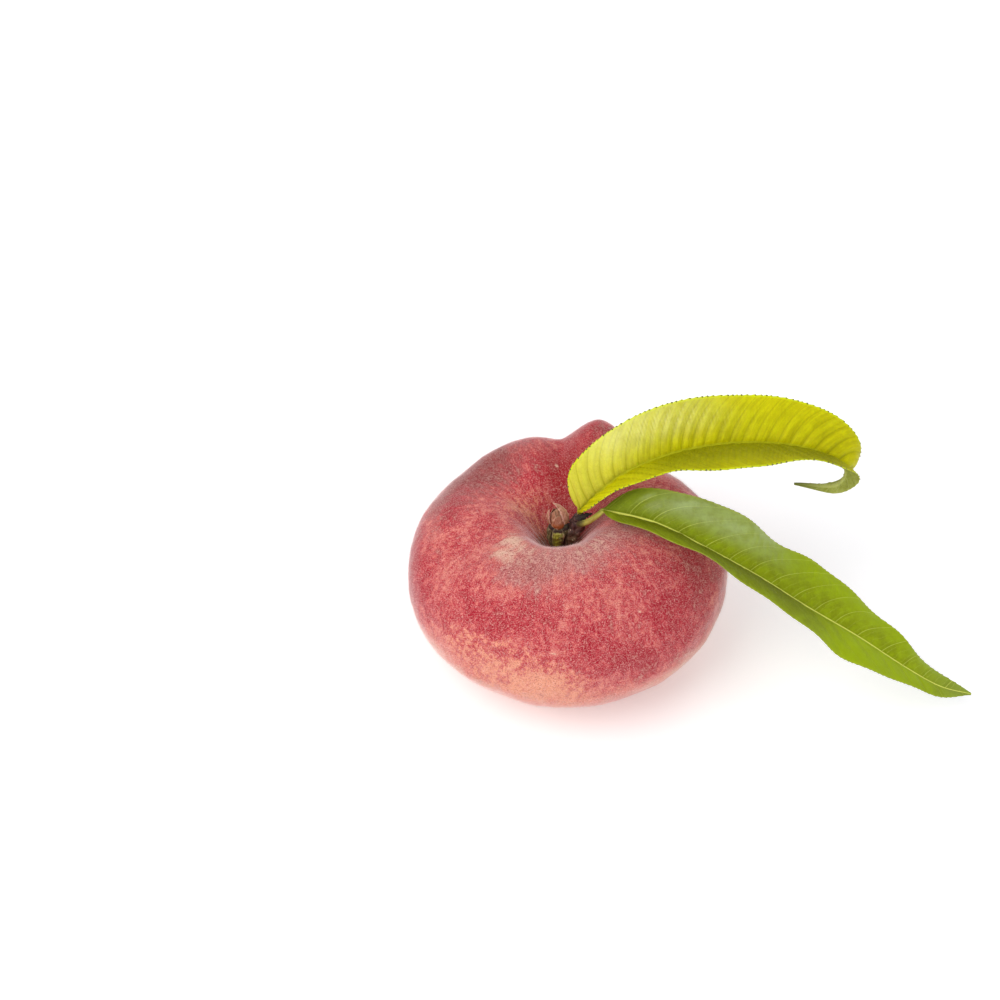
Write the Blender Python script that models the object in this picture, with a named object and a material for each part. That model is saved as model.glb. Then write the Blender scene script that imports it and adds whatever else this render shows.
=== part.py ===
"""A flat peach as picked: fruit, woody stalk, dry bud, side spur and two leaves.

Units are metres, +Z is up.  The origin is on the flat spot that the fruit rests on,
under the middle of the stalk.  +X is the side that the two leaves reach out to and
+Y is the side where the seam of the fruit runs down its shoulder.
"""
import math

import bmesh
import bpy
import numpy as np

MM = 0.001

# Fruit: twelve outer radii and twelve shoulder heights, one every 30 degrees from +X.
FRUIT_RADII = [38.0, 35.4, 32.6, 31.6, 31.0, 31.9, 34.0, 35.2, 34.9, 35.4, 36.6, 38.2]
FRUIT_SHOULDERS = [-1.4, -4.5, -4.0, -0.6, -3.5, -3.8, -1.0, 0.5, 1.0, 1.8, 1.8, 0.8]
FRUIT_HEIGHT = 46.0             # height of the plain rounded form before the cavity is sunk
FRUIT_SQUARENESS = 2.45         # exponent of the side profile: 2 is an ellipse
FRUIT_STRETCH = 1.15            # how steeply the bumps point up on the shoulders
SHOULDER_FADE = 0.6             # how fast the shoulder heights die out towards the waist
CAVITY = ((9.0, 7.5, 2.5), (7.5, 15.5, 2.0), (2.6, 3.0, 4.0))   # depth, radius, power
MIDDLE_RADIUS = 7.0             # inside this the shoulders blend to their mean height
SEAM_AZIMUTH = 88.0
SEAM_WIDTH = 5.0
SEAM_POWER = 1.6                # 2 would be a plain bell; less is more of a crease
SEAM_GROOVES = ((4.6, 38.0, 29.0), (0.8, 120.0, 40.0))      # depth, middle and spread of the polar angle
# Swellings beside the seam: height, azimuth from the seam and its spread, polar angle and its spread.
SWELLINGS = ((5.2, -17.0, 14.0, 52.0, 28.0), (1.0, 30.0, 25.0, 55.0, 35.0))
FRONT_FOLD = (2.2, 204.0, 6.0, 40.0, 24.0)      # depth, azimuth, width, polar angle and its spread
AXIS_CALM = 2.5                 # the bumps die out this close to the vertical axis
LEAST_RADIUS = 2.0              # seam and fold are measured along an arc of at least this radius
FLAT_SPOT_SINK = 0.6            # how far the rounded underside is pressed flat
BLOSSOM_DIMPLE = (-2.0, 9.5, 4.0, 6.0)      # x, y, depth, radius
FRUIT_SEGMENTS = 64
FRUIT_RINGS = 40
RING_CROWDING = 1.5             # above 1 the rings crowd towards the stalk cavity

# Leaves: the midrib's points, then half widths and lifts of the far (+Y) and near halves,
# evenly spaced from the base to the tip.
UPPER_MIDRIB = [(4.4, 1.4, 38.6), (12.8, 4.2, 46.8), (23.0, 6.5, 51.3), (34.0, 7.8, 53.4),
                (45.0, 8.0, 53.8), (55.5, 7.2, 52.3), (62.6, 6.0, 47.6), (60.6, 4.6, 43.2),
                (52.0, 3.6, 44.9)]
UPPER_PETIOLE = [(4.5, 2.5, 37.5), (4.4, 2.0, 38.1)]
UPPER_FAR_WIDTHS = [7.2, 8.6, 9.7, 10.5, 10.7, 10.6, 10.3, 9.6, 8.8, 7.0, 4.4, 2.4, 0.3]
UPPER_NEAR_WIDTHS = [3.6, 4.6, 5.8, 7.2, 9.0, 10.0, 9.4, 7.2, 5.4, 4.5, 2.4, 1.2, 0.3]
UPPER_FAR_LIFTS = [72, 62, 50, 44, 40, 38, 36, 36, 36, 38, 42, 40, 30]
UPPER_NEAR_LIFTS = [30, 26, 24, 22, 20, 22, 24, 28, 36, 46, 50, 45, 30]
LOWER_MIDRIB = [(9.8, -0.4, 41.0), (21.0, -6.6, 43.9), (32.5, -11.2, 40.6), (43.5, -14.6, 35.4),
                (54.5, -17.4, 28.2), (66.0, -20.0, 21.0), (77.0, -22.8, 13.4), (85.0, -24.4, 8.4),
                (91.9, -25.5, 6.9)]
LOWER_PETIOLE = [(4.9, -1.7, 36.9), (6.2, -1.6, 38.0), (7.7, -1.1, 39.2)]
LOWER_FAR_WIDTHS = [3.6, 6.8, 9.0, 10.8, 11.4, 11.0, 11.4, 10.4, 7.9, 5.7, 4.1, 2.4, 0.3]
LOWER_NEAR_WIDTHS = [3.0, 4.8, 6.4, 7.2, 7.2, 7.4, 8.2, 8.8, 7.6, 5.2, 3.5, 2.0, 0.3]
LOWER_FAR_LIFTS = [30, 32, 30, 24, 18, 16, 16, 16, 15, 14, 14, 12, 10]
LOWER_NEAR_LIFTS = [34, 38, 36, 32, 26, 20, 14, 8, 6, 6, 6, 6, 6]
BLADE_ROUND_BASE = 0.07         # share of the blade's length over which its base rounds out
BLADE_CUP = 12.0                # degrees that each half is steeper at the midrib than at its edge
BLADE_THICKNESS = 0.32
MIDRIB_THICKNESS = 0.55         # extra under the midrib at the blade's base
MIDRIB_WIDTH = 0.9
PETIOLE_RADIUS = 0.75
BLADE_STATIONS = 40
BLADE_COLUMNS = 12
BLADE_FIRST = 0.008             # share of the blade at which its first cut is taken
BLADE_CROWDING = 1.15           # above 1 the cuts crowd towards the base

# Woody parts: (x, y, z, radius) from one end to the other.
STALK = [(0.0, 0.5, 26.7, 1.4), (0.0, 0.5, 28.0, 1.9), (-0.05, 0.5, 30.0, 2.25), (-0.1, 0.5, 32.0, 2.35),
         (-0.1, 0.5, 33.6, 2.2), (-0.15, 0.5, 34.7, 1.5)]
STALK_RIDGES = (7, 0.08)        # count and depth as a share of the radius
BUD = [(-0.35, 0.4, 35.1, 1.15), (-0.4, 0.4, 36.0, 1.6), (-0.5, 0.4, 37.4, 1.5), (-0.55, 0.4, 38.8, 1.05),
       (-0.55, 0.4, 39.8, 0.4)]
BUD_RIDGES = (5, 0.06)
SPUR = [(3.9, 0.3, 32.4, 0.8), (4.05, 0.3, 33.6, 1.3), (4.2, 0.4, 35.2, 1.5), (4.3, 0.5, 36.6, 1.2),
        (4.4, 0.5, 37.4, 0.7)]
SPUR_RIDGES = (6, 0.1)
WOOD_SIDES = 20
WOOD_RINGS = 16
WOOD_TWIST = 2.5                # radians that the ridges turn from end to end

# Thin scales: (x, y, z, half width), their thickness and the way their faces look.
CLAW_SCALE = [(1.65, -0.5, 37.0, 0.8), (1.45, -0.6, 38.6, 0.95), (0.7, -0.4, 40.5, 0.75),
              (-0.4, 0.0, 41.7, 0.45), (-1.5, 0.3, 42.4, 0.12)]
LEFT_SCALE = [(-2.55, -0.2, 36.6, 0.7), (-2.8, -0.2, 38.0, 0.75), (-2.7, -0.1, 39.2, 0.5),
              (-2.3, 0.1, 40.3, 0.12)]
BRACT = [(3.9, -0.2, 38.3, 0.4), (4.9, -0.2, 38.5, 0.5), (5.9, -0.1, 38.7, 0.4), (7.0, 0.1, 39.0, 0.12)]
SCALE_THICKNESS = 0.3
SCALE_CROWN = 1.2               # thickness along the middle as a share of that at the edges
SCALE_STATIONS = 12
SCALE_FACING = {"claw_scale": (0.7, -0.7, 0.1), "left_scale": (-0.9, -0.4, 0.1), "bract": (0.0, -0.5, 0.86)}

COLOURS = {"fruit": (0.62, 0.13, 0.12), "stalk": (0.19, 0.18, 0.04), "bud": (0.50, 0.24, 0.15),
           "claw_scale": (0.60, 0.30, 0.18), "left_scale": (0.55, 0.27, 0.17), "spur": (0.07, 0.04, 0.035),
           "bract": (0.02, 0.012, 0.01), "upper_leaf": (0.55, 0.55, 0.02), "lower_leaf": (0.22, 0.30, 0.03)}
ROUGHNESS = {"fruit": 0.75, "upper_leaf": 0.45, "lower_leaf": 0.35}
WOOD_ROUGHNESS = 0.7
CREASE_ANGLE = 50.0             # edges sharper than this stay crisp


def spread(values, s):
    """Smooth curve through evenly spaced values, read at s from 0 to 1 (Catmull-Rom)."""
    v = np.asarray(values, float)
    last = len(v) - 1
    t = np.clip(np.asarray(s, float), 0, 1) * last
    i = np.minimum(t.astype(int), last - 1)
    f = t - i
    p1, p2 = v[i], v[i + 1]
    first_span = i == 0
    last_span = i == last - 1
    if v.ndim > 1:
        f, first_span, last_span = f[..., None], first_span[..., None], last_span[..., None]
    p0 = np.where(first_span, 2 * p1 - p2, v[np.maximum(i - 1, 0)])
    p3 = np.where(last_span, 2 * p2 - p1, v[np.minimum(i + 2, last)])
    bend = 2 * p0 - 5 * p1 + 4 * p2 - p3
    return 0.5 * (2 * p1 + (p2 - p0) * f + bend * f * f + (3 * p1 - p0 - 3 * p2 + p3) * f ** 3)


def around(values, azimuth):
    """Smooth closed curve through evenly spaced values round the vertical axis."""
    n = len(values)
    total = 0.0
    for i, value in enumerate(values):
        x = wrapped(azimuth - 2 * math.pi * i / n)
        x = x if abs(x) > 1e-9 else 1e-9
        total += value * math.sin(n * x / 2) / (n * math.tan(x / 2))
    return total


def wrapped(angle):
    return (angle + math.pi) % (2 * math.pi) - math.pi


def bell(x, width):
    return math.exp(-(x / width) ** 2)


def fruit_point(polar, azimuth):
    """Point of the fruit in mm; polar is 0 at the stalk and pi at the blossom end."""
    deg = math.radians
    s, c = math.sin(polar), math.cos(polar)
    top = c > 0
    r = around(FRUIT_RADII, azimuth) * abs(s) ** (2 / FRUIT_SQUARENESS)
    z = FRUIT_HEIGHT / 2 * (1 + math.copysign(abs(c) ** (2 / FRUIT_SQUARENESS), c))
    if top:
        middle = bell(r, MIDDLE_RADIUS)
        mean = sum(FRUIT_SHOULDERS) / len(FRUIT_SHOULDERS)
        z += (around(FRUIT_SHOULDERS, azimuth) * (1 - middle) + mean * middle) * c ** SHOULDER_FADE
        z -= sum(depth * math.exp(-(r / radius) ** power) for depth, radius, power in CAVITY)

    # the seam, a groove that is deepest on the back shoulder, with a hump to its right
    off_seam = wrapped(azimuth - deg(SEAM_AZIMUTH))
    reach = max(r, LEAST_RADIUS)
    groove = sum(depth * bell(polar - deg(at), deg(width)) for depth, at, width in SEAM_GROOVES)
    bump = -groove * math.exp(-abs(off_seam * reach / SEAM_WIDTH) ** SEAM_POWER)
    for height, beside, breadth, at, width in SWELLINGS:
        bump += height * bell(off_seam - deg(beside), deg(breadth)) * bell(polar - deg(at), deg(width))
    # a shallow fold that runs out of the cavity to the front left
    depth, fold_azimuth, fold_width, at, width = FRONT_FOLD
    off_fold = wrapped(azimuth - deg(fold_azimuth)) * reach
    bump -= depth * bell(polar - deg(at), deg(width)) * bell(off_fold, fold_width)
    bump *= 1 - bell(r, AXIS_CALM)

    out = np.array([s * math.cos(azimuth), s * math.sin(azimuth), FRUIT_STRETCH * c])
    point = np.array([r * math.cos(azimuth), r * math.sin(azimuth), z]) + bump * out / np.linalg.norm(out)
    if not top:
        x, y, depth, radius = BLOSSOM_DIMPLE
        point[2] += depth * bell(math.hypot(point[0] - x, point[1] - y), radius)
    point[2] = max(point[2] - FLAT_SPOT_SINK, 0.0)
    return point


def make_fruit():
    """A ball whose every point is moved onto the fruit's rule."""
    bm = bmesh.new()
    bmesh.ops.create_uvsphere(bm, u_segments=FRUIT_SEGMENTS, v_segments=FRUIT_RINGS, radius=1.0)
    for v in bm.verts:
        share = math.acos(max(-1.0, min(1.0, v.co.z))) / math.pi
        polar = math.pi * share ** RING_CROWDING
        v.co = fruit_point(polar, math.atan2(v.co.y, v.co.x)) * MM
    return finished("fruit", bm)


def loft(name, rings):
    """A closed body through rings that have the same number of points, in mm."""
    bm = bmesh.new()
    loops = [[bm.verts.new(point * MM) for point in ring] for ring in rings]
    for below, above in zip(loops, loops[1:]):
        for k in range(len(below)):
            n = (k + 1) % len(below)
            bm.faces.new((below[k], below[n], above[n], above[k]))
    bm.faces.new(loops[0][::-1])
    bm.faces.new(loops[-1])
    bmesh.ops.triangulate(bm, faces=[f for f in bm.faces if len(f.verts) > 4])
    bmesh.ops.recalc_face_normals(bm, faces=bm.faces)
    return finished(name, bm)


def frame_along(points, s, side):
    """Point, tangent, sideways and upward directions along a smooth curve of points."""
    step = 1e-4
    t = spread(points, min(s + step, 1.0)) - spread(points, max(s - step, 0.0))
    t = t / np.linalg.norm(t)
    b = np.asarray(side, float)
    b = b - b.dot(t) * t
    b = b / np.linalg.norm(b)
    return spread(points, s), t, b, np.cross(t, b)


def blade_ring(midrib, widths, lifts, s):
    """One cut across a leaf's blade: its upper face from near to far, its lower face back."""
    centre, _, side, up = frame_along(midrib, s, (0, 1, 0))
    base_rounding = math.sqrt(1 - (1 - min(s / BLADE_ROUND_BASE, 1.0)) ** 2)
    upper, lower = [], []
    for w in np.linspace(-1, 1, BLADE_COLUMNS + 1):
        half = 1 if w > 0 else 0
        width = float(spread(widths[half], s)) * abs(w) * base_rounding
        lift = math.radians(float(spread(lifts[half], s)) + BLADE_CUP * (0.5 - abs(w)))
        top = centre + math.copysign(width * math.cos(lift), w) * side + width * math.sin(lift) * up
        thick = BLADE_THICKNESS + MIDRIB_THICKNESS * (1 - s) * bell(width, MIDRIB_WIDTH)
        upper.append(top)
        lower.append(top - thick * up)
    return upper + lower[::-1]


def petiole_ring(centre, along):
    """A round cut across the leaf's stalk, its points in the order of the blade's."""
    t = np.asarray(along, float) / np.linalg.norm(along)
    b = np.array([0.0, 1.0, 0.0])
    b = b - b.dot(t) * t
    b = b / np.linalg.norm(b)
    up = np.cross(t, b)
    count = BLADE_COLUMNS + 1
    turns = np.linspace(0, 2 * math.pi, 2 * count, endpoint=False) + math.pi / (2 * count)
    return [centre - PETIOLE_RADIUS * (math.cos(a) * b - math.sin(a) * up) for a in turns]


def make_leaf(name, midrib, petiole, widths, lifts):
    """A leaf with its stalk: round cuts first, then thin folded ones out to the tip."""
    stalk = [np.array(p, float) for p in petiole]
    ends = stalk[1:] + [np.array(midrib[0], float)]
    rings = [petiole_ring(p, q - p) for p, q in zip(stalk, ends)]
    for s in BLADE_FIRST + (1 - BLADE_FIRST) * np.linspace(0, 1, BLADE_STATIONS) ** BLADE_CROWDING:
        rings.append(blade_ring(midrib, widths, lifts, s))
    return loft(name, rings)


def make_wood(name, spine, ridges):
    """A knobbly round piece: rings about a spine, closed by rounded ends."""
    count, depth = ridges
    points = [p[:3] for p in spine]
    radii = [p[3] for p in spine]
    rings = []
    for s in np.linspace(0, 1, WOOD_RINGS):
        centre, _, b, n = frame_along(points, s, (0, 1, 0))
        radius = float(spread(radii, s))
        ring = []
        for a in np.linspace(0, 2 * math.pi, WOOD_SIDES, endpoint=False):
            r = radius * (1 + depth * math.cos(count * a + WOOD_TWIST * s))
            ring.append(centre + r * (math.cos(a) * b + math.sin(a) * n))
        rings.append(ring)
    return loft(name, rings)


def make_scale(name, spine):
    """A thin pointed scale: flat cuts of an even thickness along a spine."""
    points = [p[:3] for p in spine]
    half_widths = [p[3] for p in spine]
    facing = np.array(SCALE_FACING[name])
    rings = []
    for s in np.linspace(0, 1, SCALE_STATIONS):
        centre, t, n, _ = frame_along(points, s, facing)
        across = np.cross(n, t) * float(spread(half_widths, s))
        out = n * SCALE_THICKNESS / 2
        rings.append([centre - across - out, centre - SCALE_CROWN * out, centre + across - out,
                      centre + across + out, centre + SCALE_CROWN * out, centre - across + out])
    return loft(name, rings)


def finished(name, bm):
    """Put a mesh in the scene under its name, smooth-shaded, in its own colour."""
    mesh = bpy.data.meshes.new(name)
    bm.to_mesh(mesh)
    bm.free()
    mesh.shade_smooth()
    mesh.set_sharp_from_angle(angle=math.radians(CREASE_ANGLE))
    material = bpy.data.materials.new(name)
    material.use_nodes = True
    shader = material.node_tree.nodes["Principled BSDF"]
    shader.inputs["Base Color"].default_value = (*COLOURS[name], 1.0)
    shader.inputs["Roughness"].default_value = ROUGHNESS.get(name, WOOD_ROUGHNESS)
    shader.inputs["Metallic"].default_value = 0.0
    mesh.materials.append(material)
    obj = bpy.data.objects.new(name, mesh)
    bpy.data.collections["flat_peach"].objects.link(obj)
    return obj


def main():
    for obj in list(bpy.data.objects):
        bpy.data.objects.remove(obj)
    collection = bpy.data.collections.new("flat_peach")
    bpy.context.scene.collection.children.link(collection)

    make_fruit()
    make_wood("stalk", STALK, STALK_RIDGES)
    make_wood("bud", BUD, BUD_RIDGES)
    make_scale("claw_scale", CLAW_SCALE)
    make_scale("left_scale", LEFT_SCALE)
    make_wood("spur", SPUR, SPUR_RIDGES)
    make_scale("bract", BRACT)
    make_leaf("upper_leaf", UPPER_MIDRIB, UPPER_PETIOLE, (UPPER_NEAR_WIDTHS, UPPER_FAR_WIDTHS),
              (UPPER_NEAR_LIFTS, UPPER_FAR_LIFTS))
    make_leaf("lower_leaf", LOWER_MIDRIB, LOWER_PETIOLE, (LOWER_NEAR_WIDTHS, LOWER_FAR_WIDTHS),
              (LOWER_NEAR_LIFTS, LOWER_FAR_LIFTS))


main()
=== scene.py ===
import math

import bmesh
import bpy
import numpy as np
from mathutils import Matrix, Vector


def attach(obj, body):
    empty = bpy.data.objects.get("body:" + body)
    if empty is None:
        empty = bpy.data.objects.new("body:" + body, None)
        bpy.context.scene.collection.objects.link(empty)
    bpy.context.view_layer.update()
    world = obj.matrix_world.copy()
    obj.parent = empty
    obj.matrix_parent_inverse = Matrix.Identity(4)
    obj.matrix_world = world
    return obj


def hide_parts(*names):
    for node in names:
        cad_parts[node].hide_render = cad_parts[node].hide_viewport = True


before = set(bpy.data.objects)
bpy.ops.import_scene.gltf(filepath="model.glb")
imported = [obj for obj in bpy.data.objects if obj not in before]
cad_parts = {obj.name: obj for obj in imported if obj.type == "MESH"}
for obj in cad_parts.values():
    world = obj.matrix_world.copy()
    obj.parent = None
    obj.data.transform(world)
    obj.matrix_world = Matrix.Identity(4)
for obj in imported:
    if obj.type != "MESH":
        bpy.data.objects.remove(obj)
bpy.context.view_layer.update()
scene = bpy.context.scene
mm = 0.001
print("frame loaded:", ", ".join(sorted(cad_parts)))


class Num:      # a number that flows through a node tree
    def __init__(self, web, socket):
        self.web, self.socket = web, socket

    def do(self, operation, other=None, flip=False):
        values = (other, self) if flip else (self, other)
        inputs = {i: v for i, v in enumerate(values) if v is not None}
        return Num(self.web, self.web.node("ShaderNodeMath", {"operation": operation}, inputs).outputs[0])

    def __add__(self, other):
        return self.do("ADD", other)

    def __sub__(self, other):
        return self.do("SUBTRACT", other)

    def __rsub__(self, other):
        return self.do("SUBTRACT", other, flip=True)

    def __mul__(self, other):
        return self.do("MULTIPLY", other)

    def __abs__(self):
        return self.do("ABSOLUTE")

    __radd__ = __add__
    __rmul__ = __mul__


class Web:      # a node tree being built, for a finish or for Geometry Nodes
    def __init__(self, tree):
        self.tree = tree

    def node(self, kind, settings=None, inputs=None):
        made = self.tree.nodes.new(kind)
        for key, value in (settings or {}).items():
            setattr(made, key, value)
        for key, value in (inputs or {}).items():
            socket = made.inputs[key]
            value = getattr(value, "socket", value)
            if isinstance(value, bpy.types.NodeSocket):
                self.tree.links.new(value, socket)
            elif hasattr(socket.default_value, "__len__") and len(value) < len(socket.default_value):
                socket.default_value = (*value, 1.0)
            else:
                socket.default_value = value
        return made

    def num(self, socket):
        return Num(self, socket)


class Finish(Web):      # a material under construction; p is the place on the object in mm
    def __init__(self, name, **fixed):
        self.material = bpy.data.materials.new(name)
        self.material.use_nodes = True
        super().__init__(self.material.node_tree)
        self.tree.nodes.clear()
        self.shader = self.node("ShaderNodeBsdfPrincipled", inputs=fixed)
        out = self.node("ShaderNodeOutputMaterial")
        self.tree.links.new(self.shader.outputs[0], out.inputs["Surface"])
        place = self.node("ShaderNodeTexCoord").outputs["Object"]
        scaled = self.node("ShaderNodeVectorMath", {"operation": "SCALE"}, {0: place, "Scale": 1000.0})
        self.p = scaled.outputs[0]

    def noise(self, scale, detail=3.0, rough=0.55, at=None):
        made = self.node("ShaderNodeTexNoise", None,
                         {"Vector": at or self.p, "Scale": scale, "Detail": detail, "Roughness": rough})
        return self.num(made.outputs["Fac"])

    def stretched(self, factors):       # the place scaled along each axis
        made = self.node("ShaderNodeVectorMath", {"operation": "MULTIPLY"}, {0: self.p, 1: factors})
        return made.outputs[0]

    def height(self):       # height on the object in mm
        return self.num(self.node("ShaderNodeSeparateXYZ", None, {0: self.p}).outputs[2])

    def fromCellEdge(self, scale):
        made = self.node("ShaderNodeTexVoronoi", {"feature": "DISTANCE_TO_EDGE"},
                         {"Vector": self.p, "Scale": scale})
        return self.num(made.outputs["Distance"])

    def attribute(self, name):
        return self.num(self.node("ShaderNodeAttribute", {"attribute_name": name}).outputs["Fac"])

    def step(self, value, low, high):       # 0 at low, 1 at high, smooth between
        made = self.node("ShaderNodeMapRange", {"interpolation_type": "SMOOTHSTEP"},
                         {"Value": value, "From Min": low, "From Max": high})
        return self.num(made.outputs[0])

    def band(self, value, start, full, fade, end):      # rises from start to full, falls from fade to end
        return self.step(value, start, full) * (1.0 - self.step(value, fade, end))

    def mix(self, share, first, second):
        made = self.node("ShaderNodeMix", {"data_type": "RGBA", "clamp_factor": True},
                         {0: share, 6: first, 7: second})
        return made.outputs[2]

    def coats(self, colour, *layers):       # lays each (share, colour) over what is under it
        for share, tone in layers:
            colour = self.mix(share, colour, tone)
        return colour

    def bump(self, height, depth, strength):
        made = self.node("ShaderNodeBump", None, {"Height": height, "Distance": depth, "Strength": strength})
        return made.outputs[0]

    def set(self, **sockets):
        names = {"colour": "Base Color", "roughness": "Roughness", "normal": "Normal", "coat": "Coat Weight"}
        for key, value in sockets.items():
            self.tree.links.new(getattr(value, "socket", value), self.shader.inputs[names[key]])
        return self.material


def curveThrough(values, s):        # smooth curve through evenly spaced values, s from 0 to 1
    v = np.asarray(values, float)
    last = len(v) - 1
    t = np.clip(np.asarray(s, float), 0, 1) * last
    i = np.minimum(t.astype(int), last - 1)
    f = t - i
    p1, p2 = v[i], v[i + 1]
    firstSpan, lastSpan = i == 0, i == last - 1
    if v.ndim > 1:
        f, firstSpan, lastSpan = f[..., None], firstSpan[..., None], lastSpan[..., None]
    p0 = np.where(firstSpan, 2 * p1 - p2, v[np.maximum(i - 1, 0)])
    p3 = np.where(lastSpan, 2 * p2 - p1, v[np.minimum(i + 2, last)])
    bend = 2 * p0 - 5 * p1 + 4 * p2 - p3
    return 0.5 * (2 * p1 + (p2 - p0) * f + bend * f * f + (3 * p1 - p0 - 3 * p2 + p3) * f ** 3)


def aroundAxis(values, azimuth):    # smooth closed curve through evenly spaced values
    n = len(values)
    total = 0.0
    for i, value in enumerate(values):
        x = wrapped(azimuth - 2 * math.pi * i / n)
        x = np.where(np.abs(x) < 1e-9, 1e-9, x)
        total = total + value * np.sin(n * x / 2) / (n * np.tan(x / 2))
    return total


def wrapped(angle):
    return (angle + math.pi) % (2 * math.pi) - math.pi


def bell(x, width):
    return np.exp(-(x / width) ** 2)


def unit(v):
    return v / (np.linalg.norm(v, axis=-1, keepdims=True) + 1e-12)


def ripple(point, size, seed):      # soft repeatable unevenness, about -1 to 1, made of crossing waves
    random = np.random.default_rng(seed)
    total = np.zeros(point.shape[:-1])
    for _ in range(7):
        direction = unit(random.normal(size=3))
        length = size * random.uniform(0.6, 1.7)
        total += np.sin(point @ direction * 2 * math.pi / length + random.uniform(0, 6.28))
    return total / 3.2


def newMesh(name, points, faces, material, values=None, uv=None, smooth=True):      # points in mm
    mesh = bpy.data.meshes.new(name)
    mesh.from_pydata((np.asarray(points, float).reshape(-1, 3) * mm).tolist(), [], faces)
    if smooth:
        mesh.shade_smooth()
    mesh.materials.append(material)
    for key, data in (values or {}).items():
        layer = mesh.attributes.new(key, "FLOAT", "POINT")
        layer.data.foreach_set("value", np.asarray(data, np.float32).ravel())
    if uv is not None:
        corner = np.zeros(len(mesh.loops), np.int32)
        mesh.loops.foreach_get("vertex_index", corner)
        layer = mesh.uv_layers.new(name="alongLeaf")
        layer.data.foreach_set("uv", np.asarray(uv, np.float32)[corner].ravel())
    obj = bpy.data.objects.new(name, mesh)
    scene.collection.objects.link(obj)
    return obj


def ringFaces(rings, around, closeStart=True, closeEnd=True):   # quads between rings, plus flat ends
    k = np.arange(around)
    quads = []
    for r in range(rings - 1):
        a, b = r * around + k, r * around + (k + 1) % around
        quads.append(np.stack([a, b, b + around, a + around], 1))
    faces = [tuple(q) for q in np.concatenate(quads).tolist()]
    if closeStart:
        faces.append(tuple(k[::-1].tolist()))
    if closeEnd:
        faces.append(tuple(((rings - 1) * around + k).tolist()))
    return faces


def facingOut(obj):     # turns a closed mesh so that its faces point outwards
    shell = bmesh.new()
    shell.from_mesh(obj.data)
    bmesh.ops.recalc_face_normals(shell, faces=shell.faces)
    shell.to_mesh(obj.data)
    shell.free()
    return obj


def place(obj, slot, node=None):
    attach(obj, "root")
    if node:
        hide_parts(node)
    return obj


studio = dict(aim=(-0.01315, 0.02156, 0.01809), elevation=50.0, distance=0.641, lens=100.0,
              sky=0.70, skyTint=(0.955, 0.97, 1.0), floor=(0.94, 0.94, 0.945), floorHalf=2000.0,
              glow=0.2, glowTint=(0.97, 0.97, 1.0), lampAim=(0.02, 0.0, 0.03),
              lamps=(       # name, place, size, power, tint
                  ("keyLight", (-0.42, -0.30, 0.74), 0.66, 4.0, (1.0, 0.985, 0.95)),
                  ("rimLight", (0.30, 0.60, 0.50), 0.45, 0.8, (1.0, 1.0, 1.0)),
                  ("fillLight", (0.15, -0.70, 0.35), 0.60, 0.8, (1.0, 0.99, 0.98))))


def makeFloor():
    paper = Finish("palePaper", **{"Roughness": 0.9, "Specular IOR Level": 0.1,
                                   "Emission Strength": studio["glow"], "Emission Color": studio["glowTint"]})
    darker = tuple(v - 0.01 for v in studio["floor"])
    paper.set(colour=paper.mix(paper.noise(0.02, 4), darker, studio["floor"]))
    half = studio["floorHalf"]
    corners = [(-half, -half, 0), (half, -half, 0), (half, half, 0), (-half, half, 0)]
    floor = newMesh("floor", corners, [(0, 1, 2, 3)], paper.material, smooth=False)


def makeLight():
    world = bpy.data.worlds.new("studioSky")
    world.use_nodes = True
    background = world.node_tree.nodes["Background"]
    background.inputs[0].default_value = (*studio["skyTint"], 1.0)
    background.inputs[1].default_value = studio["sky"]
    scene.world = world
    for name, where, size, power, tint in studio["lamps"]:
        light = bpy.data.lights.new(name, "AREA")
        light.shape, light.size, light.energy, light.color = "DISK", size, power, tint
        lamp = bpy.data.objects.new(name, light)
        lamp.location = where
        lamp.rotation_euler = (Vector(studio["lampAim"]) - Vector(where)).to_track_quat("-Z", "Y").to_euler()
        scene.collection.objects.link(lamp)


def makeCamera():
    camera = bpy.data.cameras.new("camera")
    camera.lens = studio["lens"]
    camera.clip_start, camera.clip_end = 0.05, 20
    eye = bpy.data.objects.new("camera", camera)
    tilt = math.radians(studio["elevation"])
    away = Vector((0, -math.cos(tilt), math.sin(tilt)))
    eye.location = Vector(studio["aim"]) + away * studio["distance"]
    eye.rotation_euler = (math.radians(90 - studio["elevation"]), 0, 0)
    scene.collection.objects.link(eye)
    scene.camera = eye
    scene.view_settings.view_transform = "Standard"


makeFloor()
makeLight()
makeCamera()
print("studio ready")


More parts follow.
